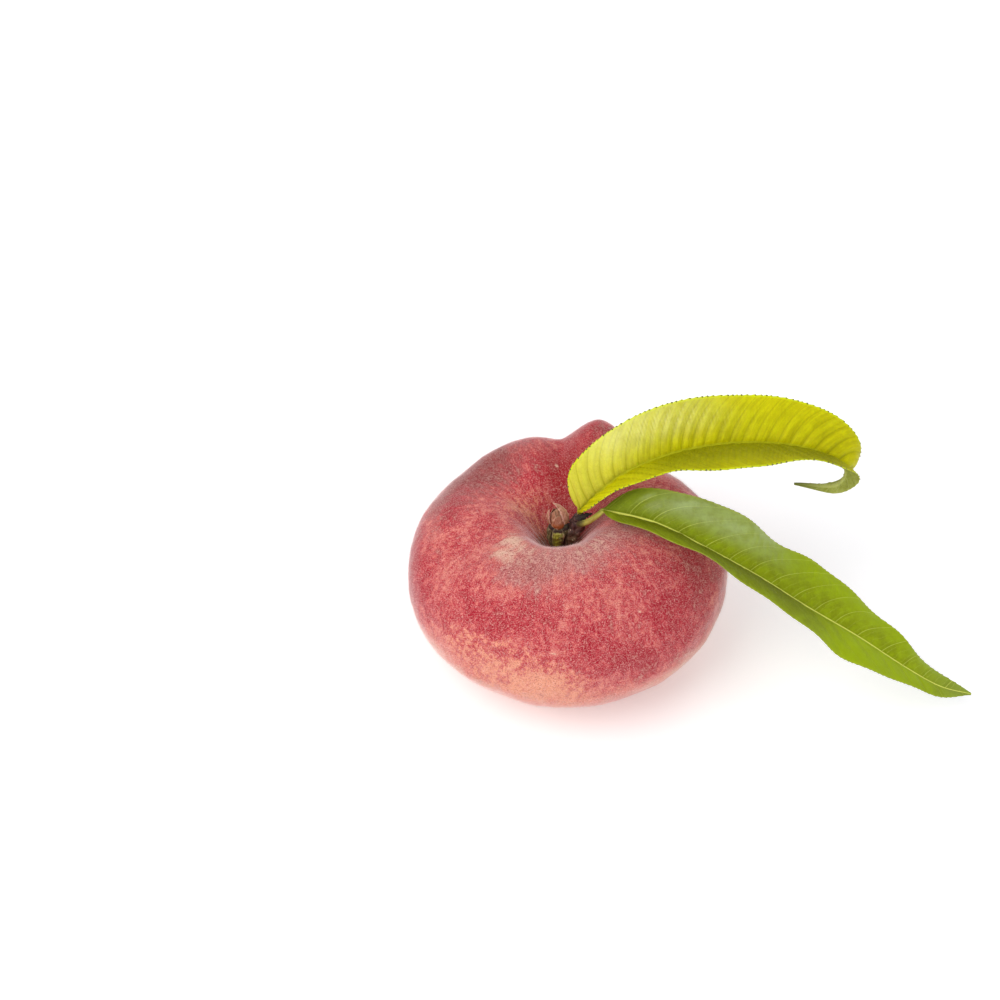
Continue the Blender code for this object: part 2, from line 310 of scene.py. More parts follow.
fruitForm = dict(       # in mm; angles in degrees; radii and shoulders from +X, every 30 degrees
    radii=[38.0, 35.4, 32.6, 31.6, 31.0, 31.9, 34.0, 35.2, 34.9, 35.4, 36.6, 38.2],
    shoulders=[-1.4, -4.5, -4.0, -0.6, -3.5, -3.8, -1.0, 0.5, 1.0, 1.8, 1.8, 0.8],
    height=46.0, squareness=2.45, stretch=1.15,
    cavity=((9.0, 7.5, 2.5), (7.5, 15.5, 2.0), (2.6, 3.0, 4.0)),       # depth, radius, power
    middle=7.0, seamAzimuth=88.0, seamWidth=5.0, seamPower=1.6, sink=0.6,
    seamDepths=((4.6, 38, 29), (0.8, 120, 40)),         # depth, polar angle, spread
    swellings=((5.2, -17, 14, 52, 28),                  # height, turn off the seam, spread, polar, spread
               (1.0, 30, 25, 55, 35)),
    fold=(2.2, 204, 6.0, 40, 24),       # depth, azimuth, width in mm, polar angle, spread
    leastRadius=2.0, axisCalm=2.5,
    dimple=(-2.0, 9.5, 4.0, 6.0),       # the blossom end: x, y, depth, radius
    around=480, rings=204, crowding=1.32, inset=0.6, topEnd=1.2, calmHeight=3.0, poleCalm=1.5,
    unevenness=((0.16, 13.0, 4), (0.06, 4.5, 5)),       # height, size, seed
    wrinkles=((0.20, 4.6, 2.4, 23, 2.0, 3, 0.4),        # height, radius, spread, count, sway, sways, twist
              (0.12, 11.0, 6.0, 9, 1.4, 2, 0.2)),
    streak=0.7, girth=33.0)

skinTones = dict(
    rose=(0.68, 0.205, 0.165), golden=(0.76, 0.32, 0.20), crimson=(0.52, 0.050, 0.066),
    wine=(0.37, 0.010, 0.026), seam=(0.32, 0.006, 0.012), cream=(0.76, 0.52, 0.38),
    # duskDarkShade and duskPaleShade are the dusky tones darkened for painted shade
    duskDark=(0.34, 0.10, 0.10), duskDarkShade=(0.17, 0.035, 0.035), duskPale=(0.56, 0.27, 0.24),
    duskPaleShade=(0.26, 0.08, 0.070), russet=(0.27, 0.125, 0.045),
    paleSpeck=(0.80, 0.45, 0.39), darkSpeck=(0.27, 0.010, 0.024))

skinSpots = dict(       # strength, polar angle and azimuth of the middle, spread in each, in degrees
    blush=((0.18, 62, -48, 26, 30), (0.20, 84, -62, 10, 16), (0.25, 80, -10, 26, 40),
           (0.50, 44, 160, 9, 26), (0.20, 74, -168, 14, 22), (0.35, 90, -176, 10, 22),
           (0.30, 62, -118, 12, 16), (0.25, 58, -92, 10, 16), (0.45, 82, -64, 8, 11),
           (0.35, 60, -30, 12, 14), (0.25, 72, -80, 9, 9), (-0.25, 48, -75, 9, 12),
           (-0.30, 88, -100, 15, 20), (-0.25, 97, -140, 14, 24), (-0.35, 102, -50, 10, 30),
           (0.30, 60, 88, 40, 50), (0.38, 75, 178, 26, 34), (-0.15, 45, -145, 14, 14),
           (-0.28, 57, -170, 11, 18), (0.20, 84, -160, 8, 16), (-0.30, 13, 140, 6, 36)),
    cream=((0.80, 18, -138, 3.8, 11), (0.68, 28, -133, 4.4, 10), (0.22, 23, -122, 8, 24),
           # the spots at polar 98 and 96 paint a pale sheen along the lower rim at right and left
           (0.20, 52, -178, 8, 10), (0.25, 16, -60, 6, 30), (0.30, 98, -28, 9, 34),
           (0.25, 96, -150, 8, 22), (1.6, 28.7, 91.6, 0.9, 1.4), (1.6, 71, -93, 0.45, 1.3),
           (1.6, 56, -57, 0.4, 0.5), (1.6, 83, -83, 0.35, 0.9)),
    dusk=((0.95, 42, 140, 22, 38), (0.55, 60, 150, 16, 34), (-0.45, 44, 160, 6, 20),
          (0.90, 24, -105, 10, 42), (0.75, 17, -45, 9, 48), (0.60, 36, -116, 7, 20),
          (-0.60, 14, 140, 9, 36), (-0.50, 26, 90, 12, 16), (0.45, 45, 60, 25, 18),
          (0.40, 60, 0, 25, 30), (0.30, 20, 10, 12, 40)),
    deep=((1.25, 24, 88, 14, 17), (0.50, 50, 82, 22, 9), (0.30, 13, 110, 8, 40)),
    gold=((0.90, 90, -100, 13, 26), (0.35, 74, -118, 10, 18), (0.30, 80, -135, 14, 18),
          (1.0, 12, 139, 8, 40), (0.30, 70, 120, 25, 25), (0.45, 80, -112, 12, 20)),
    # painted shade: this zone darkens the upper left lobe and two smaller places
    shade=((1.0, 48, 130, 30, 60), (0.50, 45, 40, 30, 50), (0.30, 30, -108, 8, 26)),
    russet=())

skinZones = dict(       # everywhere, added on the underside, at the stalk pole, at the blossom pole
    blush=(0.50, -0.80, 0.4, 0), cream=(0, 0.42, 0.3, 0.6), dusk=(0, 0, 0.2, 0), deep=(0, 0, 0, 0),
    gold=(0, 0.6, 0, 0.6), shade=(0, 0, 0, 0), russet=(0, 0, 0.8, 0))

skinMarks = dict(       # a cream band at the top of the underside, painted as the pale sheen of the lower rim, the streaks out of the cavity, and the russet rings
    border=114, borderWaves=((7, 2, 2.3), (4, 5, 0.6)), underSoft=9,
    rim=(0.42, 106, 9), rimGap=(0.8, -95, 30),
    streaks=(0.30, 20, -100, 10, 80), stalkRing=(0.85, 3.9, 1.7), blossomScar=(1.1, 1.7, 2.0))


def turnFrom(azimuth, degrees):
    return wrapped(azimuth - math.radians(degrees))


def bellAt(angle, degrees, spread):
    return bell(angle - math.radians(degrees), math.radians(spread))


def fruitSurface(polar, azimuth):       # in mm; polar is 0 at the stalk and pi at the blossom end
    form = fruitForm
    s, c = np.sin(polar), np.cos(polar)
    top = c > 0
    r = aroundAxis(form["radii"], azimuth) * np.abs(s) ** (2 / form["squareness"])
    z = form["height"] / 2 * (1 + np.sign(c) * np.abs(c) ** (2 / form["squareness"]))
    middle = bell(r, form["middle"])
    mean = sum(form["shoulders"]) / len(form["shoulders"])
    z = z + (aroundAxis(form["shoulders"], azimuth) * (1 - middle) + mean * middle) * np.clip(c, 0, 1) ** 0.6
    z = z - top * sum(depth * np.exp(-(r / radius) ** power) for depth, radius, power in form["cavity"])

    offSeam = turnFrom(azimuth, form["seamAzimuth"])
    reach = np.maximum(r, form["leastRadius"])
    groove = sum(depth * bellAt(polar, *where) for depth, *where in form["seamDepths"])
    bump = -groove * np.exp(-np.abs(offSeam * reach / form["seamWidth"]) ** form["seamPower"])
    for height, turn, spread, *where in form["swellings"]:
        bump = bump + height * bellAt(offSeam, turn, spread) * bellAt(polar, *where)
    depth, foldAzimuth, width, *where = form["fold"]
    bump = bump - depth * bellAt(polar, *where) * bell(turnFrom(azimuth, foldAzimuth) * reach, width)
    bump = bump * (1 - bell(r, form["axisCalm"]))

    out = unit(np.stack([s * np.cos(azimuth), s * np.sin(azimuth), form["stretch"] * c], -1))
    point = np.stack([r * np.cos(azimuth), r * np.sin(azimuth), z], -1) + bump[..., None] * out
    x, y, depth, radius = form["dimple"]
    point[..., 2] += np.where(top, 0, depth * bell(np.hypot(point[..., 0] - x, point[..., 1] - y), radius))
    point[..., 2] = np.maximum(point[..., 2] - form["sink"], 0.0)
    return point, out


def skinValues(t, a, r, point):     # how much of each zone there is at every point of the skin
    marks = skinMarks

    def spot(polar, azimuth, polarSpread, azimuthSpread):
        return bellAt(t, polar, polarSpread) * bell(turnFrom(a, azimuth), math.radians(azimuthSpread))

    border = marks["border"]
    for size, count, turn in marks["borderWaves"]:
        border = border + size * np.sin(a * count + turn)
    under = 1 / (1 + np.exp(-(t - np.radians(border)) / math.radians(marks["underSoft"])))
    zones = {}
    for zone, (everywhere, beneath, _, _) in skinZones.items():
        spots = sum(share * spot(*where) for share, *where in skinSpots[zone])
        zones[zone] = everywhere + beneath * under + spots

    # painted sheen: a cream band at polar angle 106, thinned at the front, stands for the pale sheen of the
    # down along the lower rim
    share, polar, spread = marks["rim"]
    gapShare, gapAzimuth, gapSpread = marks["rimGap"]
    gap = gapShare * bell(turnFrom(a, gapAzimuth), math.radians(gapSpread))
    zones["cream"] += share * bellAt(t, polar, spread) * (1 - gap)
    share, *where = marks["streaks"]
    zones["cream"] += share * spot(*where) * (0.5 + 0.5 * np.sin(37 * a + 2.2 * np.sin(5 * a)))
    share, radius, spread = marks["stalkRing"]
    zones["russet"] += share * bell(r - radius, spread) * (t < fruitForm["topEnd"])
    share, radius, start = marks["blossomScar"]
    x, y = fruitForm["dimple"][:2]
    zones["russet"] += share * bell(np.hypot(point[..., 0] - x, point[..., 1] - y), radius) * (t > start)
    return {zone: np.append(np.clip(data, -1, 1.8).ravel(), skinZones[zone][2:])
            for zone, data in zones.items()}


def fruitSkin():
    skin = Finish("fuzzySkin", **{"Subsurface Weight": 0.06, "Subsurface Radius": (1.0, 0.3, 0.2),
                                  "Subsurface Scale": 0.0006, "Sheen Weight": 1.0, "Sheen Roughness": 0.28,
                                  "Sheen Tint": (1.0, 0.92, 0.92), "Specular IOR Level": 0.08, "IOR": 1.4})
    blush, cream, dusk, deep, gold, shade, russet = (skin.attribute(zone) for zone in skinZones)
    tones = skinTones
    flow = skin.node("ShaderNodeAttribute", {"attribute_name": "grainPlace"}).outputs["Vector"]
    patch = skin.noise(0.13, 3, 0.6) - 0.5
    blotch = skin.noise(0.33, 3, 0.6, at=flow) - 0.5
    mottle = skin.noise(0.85, 3, 0.7) * 0.5 + skin.noise(0.75, 3, 0.7, at=flow) * 0.5
    grain = skin.noise(2.3, 2, 0.7)
    tips = skin.noise(4.8, 1, 0.5)
    uneven, gritty = mottle - 0.5, grain - 0.5
    red = blush + patch * 1.4 + blotch * 1.5 + uneven * 3.8 + gritty * 2.0
    duskShare = skin.step(dusk + blotch * 1.3 + uneven * 1.3, 0.1, 1.0)
    creamShare = skin.step(cream + blotch * 1.0 + uneven * 1.5 + gritty * 0.6, 0.1, 1.05)
    # painted shade: the shade zone turns the dusky tones to their darker shaded copies
    dusky = skin.mix(skin.step(mottle + gritty * 0.5, 0.38, 0.60),
                     skin.mix(shade, tones["duskDark"], tones["duskDarkShade"]),
                     skin.mix(shade, tones["duskPale"], tones["duskPaleShade"]))
    speck = grain * 0.45 + tips * 0.55
    colour = skin.coats(
        tones["rose"],
        (skin.step(gold + blotch * 1.5, 0.1, 0.9), tones["golden"]),
        (skin.step(red, 0.0, 0.62), tones["crimson"]),
        (skin.step(red, 0.50, 1.05), tones["wine"]),
        (deep * (0.55 + mottle * 0.6), tones["seam"]),
        (duskShare * 0.85, dusky),
        # cream is the pale underside and patches of the skin, plus the painted sheen along the lower rim
        (creamShare * 0.85, tones["cream"]),
        (skin.step(russet + uneven * 1.5, 0.25, 0.9) * 0.8, tones["russet"]),
        # fewer pale specks where shade is painted
        (skin.step(speck, 0.48, 0.68) * (0.66 - shade * 0.34), tones["paleSpeck"]),
        (skin.step(speck, 0.50, 0.34) * 0.72, tones["darkSpeck"]))
    relief = skin.bump(mottle * 0.4 + grain * 0.4 + tips * 0.2, 0.00025, 0.7)
    return skin.set(colour=colour, roughness=0.66 + grain * 0.2, normal=relief)


def makeFruit():
    form = fruitForm
    around, rings = form["around"], form["rings"]
    share = np.linspace(0, 1, rings + 1)[1:-1]
    t, a = np.meshgrid(math.pi * share ** form["crowding"],
                       np.arange(around) * 2 * math.pi / around, indexing="ij")
    point, out = fruitSurface(t, a)
    # a soft unevenness of the flesh, and short wrinkles where the cavity narrows to the stalk
    r = np.hypot(point[..., 0], point[..., 1])
    relief = -form["inset"]
    for height, size, seed in form["unevenness"]:
        relief = relief + height * ripple(point, size, seed)
    for height, radius, spread, count, sway, sways, twist in form["wrinkles"]:
        wave = np.sin(count * a + sway * np.sin(sways * a) + twist * r)
        relief = relief + height * bell(r - radius, spread) * (t < form["topEnd"]) * wave
    rest = np.clip(point[..., 2] / form["calmHeight"], 0, 1)
    point = point + (relief * rest * (1 - bell(r, form["poleCalm"])))[..., None] * out
    point[..., 2] = np.maximum(point[..., 2], 0.0)

    ends = [fruitSurface(np.array([angle]), np.array([0.0]))[0] for angle in (0.0, math.pi)]
    points = np.concatenate([point.reshape(-1, 3), *ends])
    faces = ringFaces(len(t), around, False, False)
    first, last = len(points) - 2, len(points) - 1
    lowest = (len(t) - 1) * around
    for k in range(around):
        n = (k + 1) % around
        faces.append((first, n, k))
        faces.append((last, lowest + k, lowest + n))
    fruit = newMesh("fruit_skin", points, faces, fruitSkin(), skinValues(t, a, r, point))

    # places for the mottling: it runs in short streaks along the meridians
    steps = np.linalg.norm(np.diff(point, axis=0), axis=-1).mean(1)
    arc = np.concatenate([[0], np.cumsum(steps)])[:, None] * form["streak"]
    girth = form["girth"]
    flow = np.stack([np.cos(a) * girth, np.sin(a) * girth, np.broadcast_to(arc, a.shape)], -1)
    flow = np.concatenate([flow.reshape(-1, 3), [[0, 0, 0], [0, 0, arc[-1, 0]]]])
    layer = fruit.data.attributes.new("grainPlace", "FLOAT_VECTOR", "POINT")
    layer.data.foreach_set("vector", flow.astype(np.float32).ravel())
    facingOut(fruit)
    print("fruit:", len(faces), "faces")
    return place(fruit, "fuzzy_skin", "fruit")


fruit = makeFruit()


down = dict(perPiece=42000, length=0.42, radius=0.008, lean=0.6, seed=11, tone=(0.85, 0.62, 0.58),
            floorGap=1.2, stalkClear=4.0, stalkShare=0.9, cavityHeight=20,
            quarters=(("down_right", -60), ("down_front", -120), ("down_left", 150), ("down_back", 45)))


def startTree(name, sizes):     # a Geometry Nodes tree whose inputs are a mesh, its sizes, a seed and a finish
    tree = bpy.data.node_groups.new(name, "GeometryNodeTree")
    numbers = [(size, "Float") for size in sizes]
    for label, kind in (("Geometry", "Geometry"), *numbers, ("Seed", "Int"), ("Finish", "Material")):
        tree.interface.new_socket(name=label, in_out="INPUT", socket_type="NodeSocket" + kind)
    tree.interface.new_socket(name="Geometry", in_out="OUTPUT", socket_type="NodeSocketGeometry")
    web = Web(tree)
    return web, web.node("NodeGroupInput").outputs


def endTree(web, given, points, shape, least, most, axis=None):     # a shape of random size on each point
    size = web.node("FunctionNodeRandomValue", {"data_type": "FLOAT"},
                    {2: least, 3: most, "Seed": given["Seed"]})
    inputs = {"Points": points, "Instance": shape, "Scale": size.outputs[1]}
    if axis is not None:
        turn = web.node("FunctionNodeAlignRotationToVector", {"axis": "Z"}, {"Vector": axis})
        inputs["Rotation"] = turn.outputs[0]
    grown = web.node("GeometryNodeInstanceOnPoints", None, inputs)
    real = web.node("GeometryNodeRealizeInstances", None, {"Geometry": grown.outputs[0]})
    done = web.node("GeometryNodeSetMaterial", None, {"Geometry": real.outputs[0], "Material": given["Finish"]})
    web.node("NodeGroupOutput", None, {"Geometry": done.outputs[0]})
    return web.tree


def scatterOver(web, given, density):       # random points on the faces of the given mesh
    return web.node("GeometryNodeDistributePointsOnFaces", {"distribute_method": "RANDOM"},
                    {"Mesh": given["Geometry"], "Density": density, "Seed": given["Seed"]}).outputs


def downTree():     # short tapering hairs over the covered faces
    web, given = startTree("growDown", ("Hairs per area", "Length", "Radius", "Lean"))
    cover = web.node("GeometryNodeInputNamedAttribute", {"data_type": "FLOAT"}, {"Name": "downCover"})
    scatter = scatterOver(web, given, web.num(given["Hairs per area"]) * web.num(cover.outputs[0]))
    hair = web.node("GeometryNodeMeshCone", {"fill_type": "NGON"},
                    {"Vertices": 3, "Radius Top": 0.0, "Radius Bottom": given["Radius"],
                     "Depth": given["Length"]})
    low, high = (web.node("ShaderNodeVectorMath", {"operation": "SCALE"}, {0: corner, "Scale": given["Lean"]})
                 for corner in ((-1.0, -1.0, -1.0), (1.0, 1.0, 1.0)))
    wander = web.node("FunctionNodeRandomValue", {"data_type": "FLOAT_VECTOR"},
                      {0: low.outputs[0], 1: high.outputs[0], "Seed": given["Seed"]})
    aim = web.node("ShaderNodeVectorMath", {"operation": "ADD"}, {0: scatter["Normal"], 1: wander.outputs[0]})
    return endTree(web, given, scatter["Points"], hair.outputs["Mesh"], 0.45, 1.25, aim.outputs[0])


def applyTree(source, tree, name, settings):     # runs a tree over a mesh and keeps the plain result
    carrier = bpy.data.objects.new(name, source)
    scene.collection.objects.link(carrier)
    modifier = carrier.modifiers.new("grow", "NODES")
    modifier.node_group = tree
    for item in tree.interface.items_tree:
        if item.in_out == "INPUT" and item.name in settings:
            modifier[item.identifier] = settings[item.name]
    bpy.context.view_layer.update()
    result = bpy.data.meshes.new_from_object(carrier.evaluated_get(bpy.context.evaluated_depsgraph_get()))
    result.name = name
    carrier.modifiers.clear()
    carrier.data = result
    return carrier


def makeDown():
    pale = Finish("paleDown", **{"Base Color": down["tone"], "Roughness": 0.7, "Specular IOR Level": 0.2,
                                 "Sheen Weight": 0.0}).material
    tree = downTree()
    mesh = fruit.data
    spots = np.zeros(len(mesh.vertices) * 3, np.float32)
    mesh.vertices.foreach_get("co", spots)
    x, y, z = spots.reshape(-1, 3).astype(float).T / mm
    azimuth = np.degrees(np.arctan2(y, x))
    nearStalk = bell(np.hypot(x, y), down["stalkClear"]) * (z > down["cavityHeight"])
    clear = (z > down["floorGap"]) * (1 - down["stalkShare"] * nearStalk)
    for i, (name, start) in enumerate(down["quarters"]):
        stop = down["quarters"][i - 1][1]
        inside = ((azimuth - start) % 360 <= (stop - start) % 360) * clear
        source = mesh.copy()
        layer = source.attributes.new("downCover", "FLOAT", "POINT")
        layer.data.foreach_set("value", inside.astype(np.float32))
        area = sum(p.area for p in source.polygons if inside[p.vertices[0]] > 0)
        settings = {"Hairs per area": down["perPiece"] / area, "Length": down["length"] * mm,
                    "Radius": down["radius"] * mm, "Lean": down["lean"], "Seed": down["seed"] + i,
                    "Finish": pale}
        piece = applyTree(source, tree, name, settings)
        place(piece, "fuzzy_skin")
        print(name, len(piece.data.polygons), "faces")


makeDown()


upperForm = dict(
    midrib=[(4.4, 1.4, 38.6), (12.8, 4.2, 46.8), (23.0, 6.5, 51.3), (34.0, 7.8, 53.4), (45.0, 8.0, 53.8),
            (55.5, 7.2, 52.3), (62.6, 6.0, 47.6), (60.6, 4.6, 43.2), (51.3, 3.55, 45.1)],
    petiole=[(4.3, 1.2, 36.4), (4.45, 1.6, 37.4), (4.4, 1.6, 38.1)],
    farWidths=[7.2, 8.6, 9.7, 10.5, 10.7, 10.6, 10.3, 9.6, 8.8, 7.0, 4.4, 2.4, 0.3],
    nearWidths=[5.0, 5.6, 6.4, 7.4, 9.0, 10.0, 9.4, 7.2, 5.4, 4.5, 2.4, 1.2, 0.3],
    farLifts=[72, 62, 50, 44, 40, 38, 36, 36, 36, 38, 42, 40, 30],
    nearLifts=[30, 26, 24, 22, 20, 22, 24, 28, 36, 46, 50, 45, 30],
    veinEvery=2.7, veinLean=(0.28, 0.9), veinBend=0.03, pleat=0.34, pleatWidth=1.7, veinSink=0.08,
    toothPitch=1.3, toothDepth=0.24, ruffle=0.25, calmTip=0.25, seed=3)

lowerForm = dict(
    midrib=[(9.8, -0.4, 41.0), (21.0, -6.6, 43.9), (32.5, -11.2, 40.6), (43.5, -14.6, 35.4),
            (54.5, -17.4, 28.2), (66.0, -20.0, 21.0), (77.0, -22.8, 13.4), (85.0, -24.4, 8.4),
            (91.9, -25.5, 6.9)],
    petiole=[(4.3, -0.3, 36.2), (5.1, -1.15, 37.2), (6.3, -1.45, 38.2), (7.8, -1.1, 39.3)],
    farWidths=[3.6, 6.8, 9.0, 10.8, 11.4, 11.0, 11.4, 10.4, 7.9, 5.7, 4.1, 2.4, 0.3],
    nearWidths=[3.0, 4.8, 6.4, 7.2, 7.2, 7.4, 8.2, 8.8, 7.6, 5.2, 3.5, 2.0, 0.3],
    farLifts=[30, 32, 30, 24, 18, 16, 16, 16, 15, 14, 14, 12, 10],
    nearLifts=[34, 38, 36, 32, 26, 20, 14, 8, 6, 6, 6, 6, 6],
    veinEvery=6.0, veinLean=(0.42, 0.8), veinBend=0.075, pleat=0.14, pleatWidth=2.4, veinSink=0.05,
    toothPitch=1.3, toothDepth=0.15, ruffle=0.45, calmTip=0.04, seed=8)

blade = dict(roundBase=0.07, cup=12.0, thickness=0.30, edgeThickness=0.14, ribThickness=0.6, ribWidth=0.55,
             veinRib=0.10, groove=0.30, toothRise=0.78, leastTooth=0.1, nearPhase=0.43, second=0.55, third=0.20,
             petioleRadius=0.64, petioleRings=26, stations=760, crowding=1.06, halfColumns=15, first=0.0015)


def acrossMidrib(form, s):      # place, sideways and upward directions on the midrib
    step = 1e-4
    ahead = curveThrough(form["midrib"], np.minimum(s + step, 1))
    behind = curveThrough(form["midrib"], np.maximum(s - step, 0))
    t = unit(ahead - behind)
    side = unit(np.array([0.0, 1.0, 0.0]) - (t[..., 1])[..., None] * t)
    return curveThrough(form["midrib"], s), side, np.cross(t, side)


def eitherSide(form, what, s, w):       # a value of the far side where w > 0, of the near side elsewhere
    return np.where(w > 0, curveThrough(form["far" + what], s), curveThrough(form["near" + what], s))


def runAlong(line):     # distance from the first point of a line, at each of its points
    return np.concatenate([[0], np.cumsum(np.linalg.norm(np.diff(line, axis=0), axis=1))])


def bladeSurface(form, s, w, teeth):    # s along, w from -1 near to +1 far
    centre, side, up = acrossMidrib(form, s)
    rounding = np.sqrt(1 - (1 - np.clip(s / blade["roundBase"], 0, 1)) ** 2)
    width = eitherSide(form, "Widths", s, w) * rounding * np.abs(w) + teeth * np.abs(w) ** 24
    lift = np.radians(eitherSide(form, "Lifts", s, w) + blade["cup"] * (0.5 - np.abs(w)))
    sideways = (np.sign(w) * width * np.cos(lift))[..., None] * side
    return centre + sideways + (width * np.sin(lift))[..., None] * up


def toothedEdges(form, plain, stations):    # each tooth rises slowly towards the tip and drops sharply
    teeth = np.zeros(plain.shape[:2])
    tips = []
    rise = blade["toothRise"]
    fade = np.clip(stations / 0.03, 0, 1) * np.clip((1 - stations) / form["calmTip"] - 0.3, 0, 1)
    for column, inner, third in ((0, 1, 2), (-1, -2, -3)):
        rim = runAlong(plain[:, column])
        phase = rim / form["toothPitch"] + 0.25 * np.sin(rim * 0.9 + column) + 0.2 * np.sin(rim * 0.37)
        saw = phase % 1.0
        edge = np.where(saw < rise, (saw / rise) ** 1.3, (1 - saw) / (1 - rise)) * form["toothDepth"] * fade
        teeth[:, column] = edge
        teeth[:, inner] = edge * 0.35
        peaks = (edge[1:-1] > edge[:-2]) & (edge[1:-1] >= edge[2:]) & (edge[1:-1] > blade["leastTooth"])
        tips += [(i + 1, column, third) for i in np.flatnonzero(peaks)]
    return teeth, tips


def bladeRelief(form, s, w, plain, d):      # vein phase, height over the plain blade, and thickness
    along = runAlong(plain[:, blade["halfColumns"]])
    # veins leave the midrib aslant and bend towards the tip; the blade swells between them
    lean = np.where(w > 0, *form["veinLean"])
    wave = 0.55 * np.sin(along / 9.0 + form["seed"]) + 0.35 * np.sin(along / 3.7 + 2.0 * form["seed"])
    phase = (along[:, None] + wave[:, None] - lean * d - form["veinBend"] * d * d) / form["veinEvery"]
    phase = phase + np.where(w > 0, 0.0, blade["nearPhase"])
    fromVein = np.abs((phase + 0.5) % 1.0 - 0.5) * form["veinEvery"]
    fadeTip = np.clip((1 - s) / 0.12, 0, 1)
    margin = (1 - np.abs(w) ** 6) * fadeTip
    away = form["pleat"] * np.clip(d / 1.2, 0, 1) * margin
    course = np.stack([phase * form["veinEvery"], 0.10 * d + 30 * (w > 0), 0 * d], -1)
    raised = (np.abs(np.sin(np.pi * phase)) ** 0.8 - 0.5) * away
    raised += blade["second"] * ripple(course, form["pleatWidth"], form["seed"] + 50) * away
    raised += blade["third"] * ripple(plain, 2.2, form["seed"]) * away
    groove = blade["groove"] * bell(d, 0.55) * np.clip((1 - s) / 0.3, 0, 1)
    raised -= form["veinSink"] * bell(fromVein, 0.22) * margin + groove
    waves = np.sin(along / 3.9 + 1.0)[:, None] + 0.6 * np.sin(along / 2.3)[:, None] * np.sign(w)
    raised += form["ruffle"] * np.abs(w) ** 2.5 * waves * np.clip(s / 0.15, 0, 1) * fadeTip
    fullness = np.clip((1 - np.abs(w)) * 6, 0, 1)
    thick = blade["edgeThickness"] + (blade["thickness"] - blade["edgeThickness"]) * fullness
    thick = thick * (0.3 + 0.7 * np.clip((1 - s) / 0.06, 0, 1))
    rib = blade["ribThickness"] * bell(d, blade["ribWidth"]) * (1 - 0.8 * s) * np.clip(s / 0.004, 0, 1)
    veinRib = blade["veinRib"] * bell(fromVein, 0.16) * margin * np.clip(1 - np.abs(w) * 0.8, 0, 1)
    return phase, raised, thick + rib + veinRib - groove * 0.7


def petioleTube(form, count):       # rings of count points from the spur to the foot of the blade
    course = np.array([*form["petiole"], form["midrib"][0]], float)
    angles = np.linspace(0, 2 * math.pi, count, endpoint=False) + math.pi / count
    channel = 1 - 0.22 * bell(wrapped(angles - math.pi / 2), 0.5)
    rings = []
    for share in np.linspace(0, 1, blade["petioleRings"], endpoint=False):
        centre = curveThrough(course, share)
        t = unit(curveThrough(course, min(share + 0.03, 1)) - curveThrough(course, max(share - 0.03, 0)))
        side = unit(np.array([0.0, 1.0, 0.0]) - t[1] * t)
        radius = blade["petioleRadius"] * (0.98 + 0.45 * bell(share, 0.3)) * channel
        sideways = (radius * np.cos(angles))[:, None] * side
        rings.append(centre - sideways + (radius * np.sin(angles))[:, None] * np.cross(t, side))
    return np.array(rings)


def makeBlade(name, form, material):
    half = blade["halfColumns"]
    turn = 0.5 * (1 - np.cos(math.pi * np.arange(1, half + 1) / half))
    columns = np.concatenate([-turn[::-1], [0.0], turn])
    stations = blade["first"] + (1 - blade["first"]) * np.linspace(0, 1, blade["stations"]) ** blade["crowding"]
    s, w = np.meshgrid(stations, columns, indexing="ij")
    plain = bladeSurface(form, s, w, 0.0)
    teeth, tips = toothedEdges(form, plain, stations)
    fromRib = np.abs(w) * eitherSide(form, "Widths", s, w)
    phase, raised, thick = bladeRelief(form, s, w, plain, fromRib)
    up = acrossMidrib(form, s)[2]
    outward = unit(np.cross(np.gradient(plain, axis=0), np.gradient(plain, axis=1)))
    outward = np.where((outward * up).sum(-1, keepdims=True) < 0, -outward, outward)
    top = bladeSurface(form, s, w, teeth) + raised[..., None] * outward
    under = top - thick[..., None] * outward

    def bothSides(data, petiole):       # a value over the petiole, then over both sides of the blade
        return np.concatenate([np.full((blade["petioleRings"], 2 * len(columns)), petiole),
                               np.concatenate([data, data[:, ::-1]], axis=1)])

    tube = petioleTube(form, 2 * len(columns))
    points = np.concatenate([tube, np.concatenate([top, under[:, ::-1]], axis=1)])
    faces = ringFaces(*points.shape[:2])
    lengthwise = np.concatenate([np.linspace(-0.06, -0.001, len(tube)), stations])[:, None]
    across = np.concatenate([columns, columns[::-1]])[None, :]
    alongAll, acrossAll = np.broadcast_arrays(lengthwise, across)
    side = np.broadcast_to(np.repeat([1.0, 0.0], len(columns)), alongAll.shape)
    values = {"upperSide": side, "veinPhase": bothSides(phase, 0.5), "fromRib": bothSides(fromRib, 0.0),
              "alongBlade": alongAll, "acrossBlade": acrossAll}
    uv = np.stack([alongAll, acrossAll * 0.5 + 0.5], -1).reshape(-1, 2)
    leaf = facingOut(newMesh(name, points, faces, material, values, uv))
    beads = np.array([0.7 * top[i, rim] + 0.3 * top[i, inner] for i, rim, inner in tips])
    length = runAlong(plain[:, half])[-1]
    print(name, "length %.1f mm," % length, len(faces), "faces,", len(beads), "teeth")
    return leaf, beads


